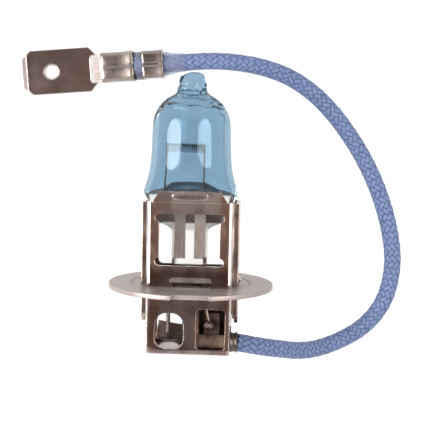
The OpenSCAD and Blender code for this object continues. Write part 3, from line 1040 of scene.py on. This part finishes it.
        def ring(x: float, inset: float) -> Ring:
            """One uneven ring of the sleeve, wider than tall where it bulges."""
            wide = through(widths, x) - inset
            tall = min(wide, 1.42 - inset)
            out = []
            for k in range(sides):
                a = 2 * math.pi * k / sides
                crease = 0.05 * noise.noise(Vector((x * 1.3, math.cos(a), math.sin(a))))
                out.append(
                    Vector(
                        (
                            x, (wide + crease) * math.cos(a),
                            self.lead_h + (tall + crease) * math.sin(a),
                        )
                    )
                )
            return out

        rings = [ring(x, 0.0) for x in spots]
        rings += [ring(x, gap) for x in reversed(spots)]
        rings.append(rings[0])
        skin.loft(rings, caps=False)
        return self.in_place(skin.piece("clear_end_sleeve"))

    def strands(self) -> bpy.types.Object:
        """The bundle of bare strands that shows at the crimp's blade end."""
        skin = Skin()
        spots = [(0.0, 0.0)] + [
            (0.27 * math.cos(a), 0.27 * math.sin(a))
            for a in (2 * math.pi * k / 6 for k in range(6))
        ]
        spots += [
            (0.54 * math.cos(a), 0.54 * math.sin(a))
            for a in (2 * math.pi * (k + 0.5) / 12 for k in range(12))
        ]
        for n, (y, z) in enumerate(spots):
            start = 12.3 + 0.06 * (n % 4)
            path = [Vector((x, y, 1.35 + z)) for x in (start, 14.0, 16.4)]
            skin.loft(tube_rings(path, 0.135, 8))
        return self.in_place(skin.piece("bare_strands_end"))

    def build(self) -> tuple[bpy.types.Object, bpy.types.Object]:
        """Builds the terminal and its sleeve.

        Returns:
            The blade and the clear sleeve.
        """
        tinned = CRIMP_STEEL.material()
        blade = self.blade()
        dress(blade, BLADE_STEEL.material())
        place(blade, "blade_steel", "blade_terminal")
        conductor = self.crimp(
            "conductor_crimp",
            [
                (12.05, 4.24, 2.98, 0.0, 0.0), (12.3, 4.24, 3.02, 0.08, 0.0),
                (12.8, 4.2, 3.05, 0.2, 0.0), (14.2, 4.15, 3.02, 0.24, 0.0),
                (15.4, 4.17, 3.05, 0.22, 0.0), (16.0, 4.25, 3.12, 0.2, 0.0),
                (16.45, 4.3, 3.18, 0.28, 0.0), (16.6, 4.24, 3.14, 0.28, 0.02),
            ],
        )
        dress(conductor, tinned)
        place(conductor, "blade_steel")
        neck = self.crimp(
            "terminal_neck",
            [
                (10.1, 4.3, 0.81, 0.0, 0.0), (10.4, 4.2, 1.0, 0.0, 0.0),
                (10.9, 4.15, 1.45, 0.0, 0.0), (11.4, 4.15, 1.95, 0.0, 0.0),
                (11.9, 4.15, 2.45, 0.0, 0.0), (12.15, 4.15, 2.7, 0.0, 0.0),
            ],
        )
        # The neck wears the painted highlight finish.
        dress(neck, NECK_HIGHLIGHT_TIN.material())
        place(neck, "blade_steel")
        wrap = self.crimp(
            "insulation_crimp",
            [
                (17.9, 3.75, 3.3, 0.3, 0.05), (18.0, 3.95, 3.45, 0.35, 0.0),
                (18.25, 3.9, 3.42, 0.5, 0.0), (19.4, 3.86, 3.4, 0.6, 0.0),
                (20.4, 3.92, 3.42, 0.5, 0.0), (20.7, 4.0, 3.48, 0.4, 0.0),
                (20.8, 3.94, 3.44, 0.4, 0.02),
            ],
        )
        dress(wrap, tinned)
        place(wrap, "blade_steel")
        channel = self.channel()
        dress(channel, tinned)
        place(channel, "blade_steel")
        strands = self.strands()
        dress(strands, COPPER.material())
        place(strands, "copper", "strands_end")
        sleeve = self.sleeve()
        dress(sleeve, SHRINK.material())
        place(sleeve, "clear_shrink", "clear_sleeve")
        return blade, sleeve


# ---------------------------------------------------------------- the glass


@dataclass
class GlassEnvelope:
    """The quartz envelope with its pinch, dome and drawn tip, and what it holds."""

    shift: float = -0.25
    wall: float = 0.78
    top: float = 28.0
    tip_from: float = 25.2
    tip_to: float = 27.6
    shoulder: float = 23.6
    ribs_to: float = 7.4
    hollow: tuple[float, float] = (10.95, 25.35)
    sides: int = 72
    half_w: tuple[tuple[float, float], ...] = (
        (2.6, 2.40), (6.9, 2.42), (7.25, 2.62), (7.6, 3.1), (7.85, 3.75), (8.2, 4.35),
        (9.2, 5.0), (10.5, 5.7), (11.5, 6.1), (12.3, 6.24), (13.05, 6.02), (13.7, 5.84),
        (14.4, 5.66), (15.05, 5.52), (16.4, 5.37), (17.7, 5.28), (19.0, 5.24), (20.4, 5.20),
        (21.7, 5.1), (22.35, 4.94), (23.0, 4.62), (23.7, 4.2), (24.3, 3.6), (24.8, 2.9),
        (25.15, 2.2), (25.5, 1.98), (26.3, 1.86), (27.0, 1.68), (27.6, 1.42),
    )
    half_d: tuple[tuple[float, float], ...] = (
        (2.6, 1.62), (7.0, 1.66), (7.85, 1.85), (9.0, 2.15), (10.5, 2.7), (12.0, 3.35),
        (13.0, 3.85), (14.0, 4.35), (15.0, 4.75), (16.0, 5.02), (17.5, 5.2), (20.4, 5.20),
        (21.7, 5.1), (22.35, 4.94), (23.0, 4.62), (23.7, 4.2), (24.3, 3.6), (24.8, 2.9),
        (25.15, 2.2), (25.5, 1.98), (26.3, 1.86), (27.0, 1.68), (27.6, 1.42),
    )

    def ring(
        self, y: float, inset: float = 0.0, lift: float = 0.0, share: float = 1.0,
        ripple: float = 0.0,
    ) -> Ring:
        """One ring of the glass.

        Args:
            y: Height.
            inset: How far inside the outer surface.
            lift: How much higher its middle is than its edges.
            share: How much of its full size it has.
            ripple: Height of the uneven ripples round it.

        Returns:
            The ring's points.
        """
        a = through(self.half_w, y) - inset
        b = through(self.half_d, y) - inset
        square = 0.5 + 0.5 * min(1.0, max(0.0, (y - 7.0) / 5.5))
        wavy = max(0.0, 1 - abs(y - self.shoulder) / 2.6) + (0.9 if y > self.tip_from else 0.0)
        out = []
        for k in range(self.sides):
            t = 2 * math.pi * k / self.sides
            c, s = math.cos(t), math.sin(t)
            x = a * math.copysign(abs(c) ** square, c)
            z = b * math.copysign(abs(s) ** square, s)
            lump = noise.noise(Vector((x * 0.7, y * 0.9, z * 0.7 + inset * 3)))
            swell = share * (1 - 0.035 * wavy * (0.5 + lump))
            if y > self.tip_from:
                swell -= 0.11 * noise.noise(Vector((x * 1.3, y * 1.7, z * 1.3)))
            if ripple:
                bend = 3.4 * noise.noise(Vector((c * 1.9, s * 1.9, 4.0)))
                swell *= 1 - ripple / max(a, 0.5) * math.sin(7.0 * y + bend + 1.5 * c)
            rise = lift * max(0.0, 1 - abs(x * share / max(a, 1e-6)) ** 3)
            out.append(Vector((self.shift + x * swell, y + rise, z * swell)))
        return out

    def pinch_ribs(self, ring: Ring, y: float) -> Ring:
        """Presses shallow upright ribs in the pinch's flat faces."""
        if y > self.ribs_to:
            return ring
        fade = min(1.0, (self.ribs_to - y) / 0.5)
        out = []
        for p in ring:
            x = p.x - self.shift
            rib = 0.0
            if abs(x) < 2.2:
                rib = 0.13 * math.cos(x * 5.2) + 0.06 * math.cos(x * 11.0 + 0.6)
            out.append(Vector((p.x, p.y, p.z - math.copysign(rib * fade, p.z))))
        return out

    def tip_rings(self) -> list[Ring]:
        """The drawn tip's end: a slanted, rounded stub."""
        rings = []
        for drop, share in ((0.4, 1.0), (0.25, 0.93), (0.12, 0.78), (0.04, 0.5), (0.0, 0.15)):
            ring = self.ring(self.tip_to)
            middle = sum(ring, Vector()) / len(ring)
            out = []
            for p in ring:
                q = middle + (p - middle) * share
                q.y = self.top - drop
                slant = 0.22 * max(0.0, -(q.x - self.shift) - 0.1)
                q.y -= slant
                out.append(q)
            rings.append(out)
        return rings

    def envelope(self) -> bpy.types.Object:
        """The glass itself: an outer skin and the hollow inside it."""
        heights = [2.6, 2.62, 2.75, 3.2, 4.0, 5.0, 6.0, 6.6, 6.9, 7.1, 7.3, 7.5, 7.65]
        heights += [7.8, 8.0, 8.4, 9.0, 9.8, 10.6, 11.2, 11.7, 12.1, 12.4, 12.8, 13.3]
        heights += [14 + 0.5 * k for k in range(16)]
        heights += [22 + 0.25 * k for k in range(23)]
        outer = []
        for n, y in enumerate(heights):
            ring = self.pinch_ribs(self.ring(y), y)
            if n == 0:
                middle = sum(ring, Vector()) / len(ring)
                ring = [middle + (p - middle) * 0.93 for p in ring]
            outer.append(ring)
        outer += self.tip_rings()
        skin = Skin()
        skin.loft(outer)
        hollow = []
        floor, roof = self.hollow
        rows = 72
        shaded = 0
        for k in range(rows + 1):
            y = floor + (roof - floor) * (math.sin(math.pi * (k / rows - 0.5)) + 1) / 2
            low = (y - floor) / 1.1
            high = (roof - y) / 0.5
            share = 1.0
            if low < 1:
                share = math.sqrt(max(0.0, 1 - (1 - low) ** 2)) * 0.99 + 0.01
            if high < 1:
                share *= math.sqrt(max(0.0, 1 - (1 - high) ** 2)) * 0.99 + 0.01
            lift = 1.35 * max(0.0, 1 - (y - floor) / 3.0)
            ripple = 0.24 * max(0.0, 1 - abs(y - 23.7) / 1.4)
            shaded += low < 0.35
            hollow.append(self.ring(y, self.wall, lift, share, ripple))
        inner = Skin()
        inner.loft([list(reversed(r)) for r in hollow])
        base = len(skin.points)
        # Painted shade: the floor rows of the hollow and its floor cap take the darker blue floor
        # glass.
        slots = [0] * len(skin.faces) + [
            int(k < shaded * self.sides or k == len(inner.faces) - 2)
            for k in range(len(inner.faces))
        ]
        skin.points.extend(inner.points)
        skin.faces.extend([[base + i for i in f] for f in inner.faces])
        made = mesh_piece("glass_bulb", skin.points, skin.faces)
        work = bmesh.new()
        work.from_mesh(made.data)
        half = len(skin.faces) - len(inner.faces)
        work.faces.ensure_lookup_table()
        bmesh.ops.recalc_face_normals(work, faces=work.faces[:half])
        bmesh.ops.recalc_face_normals(work, faces=work.faces[half:])
        bmesh.ops.reverse_faces(work, faces=work.faces[half:])
        work.to_mesh(made.data)
        work.free()
        made.data.polygons.foreach_set("material_index", slots)
        return made

    def filament(self) -> bpy.types.Object:
        """The coil and its two straight legs."""
        turns, per_turn, r = 17, 28, 0.54
        length = 4.9
        count = turns * per_turn
        path = [
            Vector(
                (
                    COIL_X + length * (i / count - 0.5),
                    COIL_Y + r * math.sin(2 * math.pi * i / per_turn),
                    r * math.cos(2 * math.pi * i / per_turn),
                )
            )
            for i in range(count + 1)
        ]
        skin = Skin()
        skin.loft(tube_rings(path, 0.065, 8))
        return skin.piece("coiled_filament")

    def lead_ins(self) -> list[bpy.types.Object]:
        """The two lead-in wires, each with a hook round the coil's end."""
        made = []
        for side, name in ((-1, "lead_in_left"), (1, "lead_in_right")):
            coil_end = COIL_X + side * 2.52
            low = self.shift + side * 1.35
            points = [
                Vector((coil_end, 18.5, 0.1)), Vector((coil_end, 17.6, 0)),
                Vector((coil_end, 15.5, 0)), Vector((coil_end, 13.0, 0)),
                Vector((self.shift + side * 2.0, 11.4, 0)), Vector((low, 10.2, 0)),
                Vector((low, 9.4, 0)),
            ]
            skin = Skin()
            skin.loft(tube_rings(route_through(points, 8), 0.12, 12))
            piece = skin.piece(name + "_wire")
            made.append(piece)
            place(piece, "lead_wire", name)
        return made

    def build(self) -> None:
        """Builds the glass and what is sealed in it."""
        glass = self.envelope()
        dress(glass, BLUE_GLASS.material(), FLOOR_SHADE_GLASS.material())
        place(glass, "blue_glass", "glass_envelope")
        coil = self.filament()
        dress(coil, TUNGSTEN.material())
        place(coil, "tungsten", "filament_coil")
        wire = WIRE_METAL.material()
        for piece in self.lead_ins():
            dress(piece, wire)


# ---------------------------------------------------------------- the cage and its joints


@dataclass
class CageAndFlange:
    """The stamped cage, the flange and the joints in the lower box."""

    nodes: dict[str, bpy.types.Object]

    def soften(self, name: str, width: float, segments: int = 2, clamped: bool = True) -> None:
        """Rounds a CAD node's sharp edges.

        Args:
            name: The node.
            width: Width of the rounding, in millimetres.
            segments: Faces across it.
            clamped: Whether the width gives way to the node's shortest edges.
        """
        joined = self.nodes[name].modifiers.new("joined", "WELD")
        joined.merge_threshold = 0.001 * MM
        bevel = self.nodes[name].modifiers.new("edge", "BEVEL")
        bevel.width = width * MM
        bevel.segments = segments
        bevel.limit_method = "ANGLE"
        bevel.angle_limit = math.radians(35)
        bevel.harden_normals = True
        bevel.use_clamp_overlap = clamped

    def repaint(self, finish: Callable[[], bpy.types.Material], *names: str) -> None:
        """Gives CAD nodes one finish."""
        material = finish()
        for name in names:
            for holder in self.nodes[name].material_slots:
                holder.material = material
            LOG.info("%s: dressed in %s", name, material.name)

    def weld(self) -> bpy.types.Object:
        """The right outer lead with its lumpy weld bead."""
        skin = Skin()
        points = [
            Vector((1.75, 3.4, 0)), Vector((1.9, 1.6, 0)), Vector((2.1, -2.6, 1.3)),
            Vector((2.6, -5.4, 1.36)),
        ]
        skin.loft(tube_rings(route_through(points, 8), 0.27, 16))
        centre, r = Vector((2.65, -5.5, 1.65)), 0.72
        rings = []
        for i in range(1, 20):
            lat = math.pi * i / 20
            ring = []
            for k in range(36):
                lon = 2 * math.pi * k / 36
                way = Vector(
                    (math.sin(lat) * math.cos(lon), math.sin(lat) * math.sin(lon), math.cos(lat))
                )
                lump = 0.72 + 0.6 * abs(noise.noise(way * 2.9 + Vector((3, 1, 2))))
                ring.append(centre + Vector((way.x * 1.15, way.y, way.z * 0.9)) * (r * lump))
            rings.append(ring)
        skin.loft(rings)
        return skin.piece("outer_lead_and_weld")

    def build(self) -> None:
        """Dresses the CAD nodes and adds the weld."""
        self.soften("cage_front", 0.12, 3)
        self.soften("cage_back", 0.06, clamped=False)
        self.soften("prefocus_flange", 0.16, 3)
        self.soften("ground_tab", 0.04)
        finishes = (
            (CAGE_PLATE, "cage_front"), (WALL_PLATE, "cage_back"),
            (FLANGE_STEEL, "prefocus_flange"), (DARK_STEEL, "ground_tab"),
            (LIVE_BRASS, "live_terminal"), (WIRE_METAL, "outer_lead_left"),
            (FOIL_METAL, "foil_left", "foil_right"), (LINER_PLASTIC, "insulating_liner"),
            (AMBER_SLEEVE, "insulating_sleeve"), (COPPER, "strands_base"),
            (CORE_PLASTIC, "lead_insulation"),
        )
        for finish, *names in finishes:
            self.repaint(finish.material, *names)
        weld = self.weld()
        dress(weld, DARK_STEEL.material())
        place(weld, "lead_wire", "outer_lead_right")


# ---------------------------------------------------------------- camera, floor and light


@dataclass
class Studio:
    """A plain pale floor, soft light and the camera."""

    table: float = TABLE
    camera_at: Vector = field(default_factory=lambda: Vector((9.18, 21.93, 130)))
    camera_turn: tuple[float, float, float] = (-5.56, 2.81, 1.17)
    lens: float = 81.94

    def camera(self) -> None:
        """Makes the camera."""
        data = bpy.data.cameras.new("camera")
        data.lens = self.lens
        data.sensor_width = 36
        data.clip_start, data.clip_end = 0.005, 10
        camera = bpy.data.objects.new("camera", data)
        camera.location = self.camera_at * MM
        camera.rotation_euler = [math.radians(a) for a in self.camera_turn]
        bpy.context.scene.collection.objects.link(camera)
        bpy.context.scene.camera = camera

    def floor(self) -> None:
        """Makes the floor, a plain pale light table."""
        half = 1500.0
        corners = [(-half, -half), (half, -half), (half, half), (-half, half)]
        floor = mesh_piece(
            "floor", [Vector((x, y, self.table - 0.02)) for x, y in corners], [(0, 1, 2, 3)]
        )
        g = Graph("pale_floor")
        glow = g.add("Emission", Color=(1, 1, 1, 1), Strength=0.96)
        grain = g.noise(0.6, 2)
        matt = g.add(
            "BsdfDiffuse", Color=g.ramp(grain, [(0.3, (0.10, 0.10, 0.10)), (0.7, (0.12,) * 3)])
        )
        both = g.add("AddShader", i0=glow.outputs[0], i1=matt.outputs[0])
        dress(floor, g.finish(both.outputs[0]))

    def area(
        self, name: str, at: tuple[float, float, float], size: tuple[float, float], power: float
    ) -> None:
        """Adds a soft box aimed at the bulb.

        Args:
            name: Name of the light.
            at: Its place in millimetres.
            size: Its size along the bulb and across it, in millimetres.
            power: Its power in watts.
        """
        data = bpy.data.lights.new(name, "AREA")
        data.shape = "ELLIPSE"
        data.size, data.size_y = size[0] * MM, size[1] * MM
        data.energy = power
        data.color = (1.0, 0.93, 0.88)
        light = bpy.data.objects.new(name, data)
        light.location = Vector(at) * MM
        aim = Vector((0, 16, 0)) - Vector(at)
        light.rotation_euler = aim.to_track_quat("-Z", "Y").to_euler()
        bpy.context.scene.collection.objects.link(light)

    def world(self) -> None:
        """A room that is white round the sides and brown-grey overhead."""
        world = bpy.data.worlds.new("room")
        bpy.context.scene.world = world
        world.use_nodes = True
        tree = world.node_tree
        tree.nodes.clear()
        where = tree.nodes.new("ShaderNodeTexCoord")
        split = tree.nodes.new("ShaderNodeSeparateXYZ")
        tree.links.new(where.outputs["Generated"], split.inputs[0])
        ramp = tree.nodes.new("ShaderNodeValToRGB")
        tree.links.new(split.outputs["Z"], ramp.inputs[0])
        bar = ramp.color_ramp.elements
        stops = [
            (0.0, (1, 1, 1)), (0.6, (1, 1, 1)), (0.74, (0.88, 0.86, 0.85)),
            (0.85, (0.50, 0.46, 0.44)), (0.93, (0.24, 0.195, 0.175)),
            (0.965, (0.17, 0.13, 0.115)), (0.985, (0.25, 0.195, 0.175)), (1.0, (0.29, 0.235, 0.21)),
        ]
        while len(bar) < len(stops):
            bar.new(0.5)
        for element, (spot, colour) in zip(bar, stops):
            element.position = spot
            element.color = (*colour, 1)
        room = tree.nodes.new("ShaderNodeBackground")
        tree.links.new(ramp.outputs[0], room.inputs[0])
        seen = tree.nodes.new("ShaderNodeBackground")
        seen.inputs[0].default_value = (1, 1, 1, 1)
        ray = tree.nodes.new("ShaderNodeLightPath")
        mix = tree.nodes.new("ShaderNodeMixShader")
        tree.links.new(ray.outputs["Is Camera Ray"], mix.inputs[0])
        tree.links.new(room.outputs[0], mix.inputs[1])
        tree.links.new(seen.outputs[0], mix.inputs[2])
        out = tree.nodes.new("ShaderNodeOutputWorld")
        tree.links.new(mix.outputs[0], out.inputs[0])

    def build(self) -> None:
        """Builds the stage."""
        self.floor()
        self.world()
        self.area("left_box", (-148, 8, 130), (170, 154), 0.68)
        self.area("right_box", (118, 18, 130), (150, 130), 0.25)
        bpy.context.scene.view_settings.view_transform = "Standard"


def main() -> None:
    """Builds every sub-assembly in order."""
    logging.basicConfig(level=logging.INFO, format="%(name)s %(message)s")
    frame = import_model()
    studio = Studio()
    studio.camera()
    terminal = BladeTerminal()
    blade, sleeve = terminal.build()
    FlyingLead().build(blade, sleeve)
    GlassEnvelope().build()
    CageAndFlange(frame["nodes"]).build()
    studio.build()


if __name__ == "__main__":
    main()
